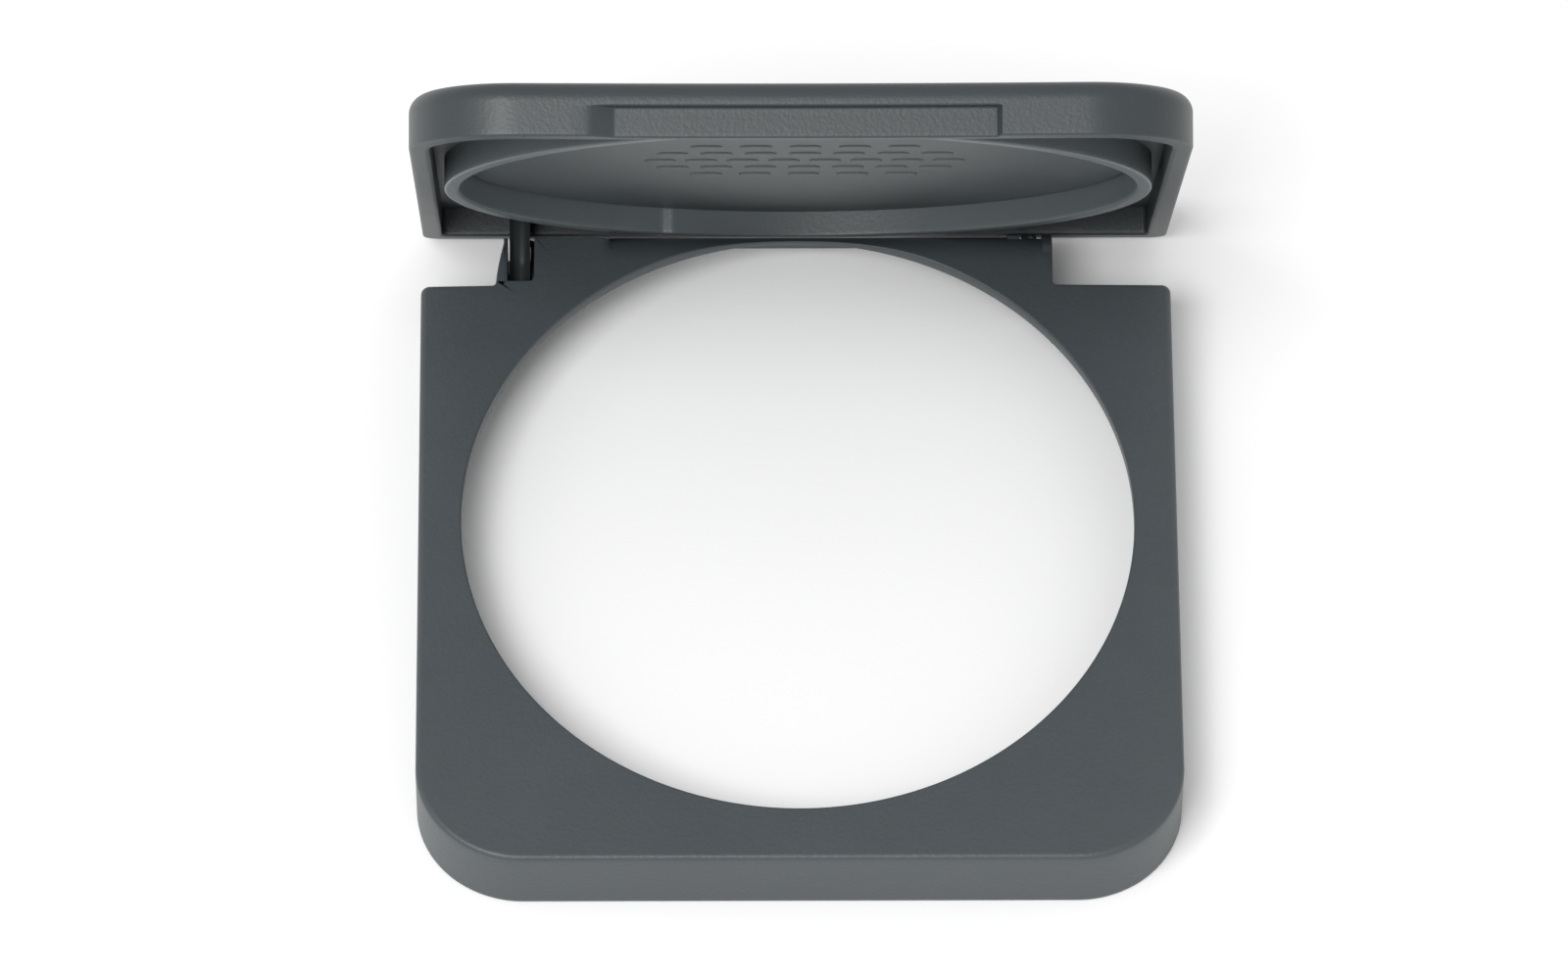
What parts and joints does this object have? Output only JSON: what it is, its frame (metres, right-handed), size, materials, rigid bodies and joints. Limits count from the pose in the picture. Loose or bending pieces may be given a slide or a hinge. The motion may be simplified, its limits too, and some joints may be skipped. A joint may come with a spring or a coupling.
{
  "type": "hinged flap cover for a round socket outlet",
  "caption": "Square moulded frame with a round opening and a hinged, sprung lid whose round collar closes over the opening.",
  "frame": {"origin": "centre of the round opening, in the plane of the frame's back edge, where the cover meets the wall", "axes": "+Z out of the wall along the opening's axis, +Y towards the hinge, so the lid's free edge is at -Y when it is closed"},
  "size_m": [0.05, 0.0536, 0.0466],
  "materials": {
    "frame_plastic": "fine grained anthracite",
    "lid_plastic": "fine grained anthracite",
    "sealing_disc": "soft matt",
    "pin_steel": "drawn",
    "spring_steel": "bright wire"
  },
  "bodies": {
    "frame": {"cover_frame": "frame_plastic", "hinge_pin_left": "pin_steel", "hinge_pin_right": "pin_steel", "torsion_spring": "spring_steel"},
    "lid": {"lid": "lid_plastic", "lid_sealing_disc": "sealing_disc"}
  },
  "joints": [
    {"name": "lid_hinge", "type": "hinge", "parent": "frame", "child": "lid", "pos_m": [0, 0.0204, 0.0024], "axis": [-1, 0, 0], "range_deg": [-64.6, 9.4], "deforming": ["torsion_spring"]}
  ]
}
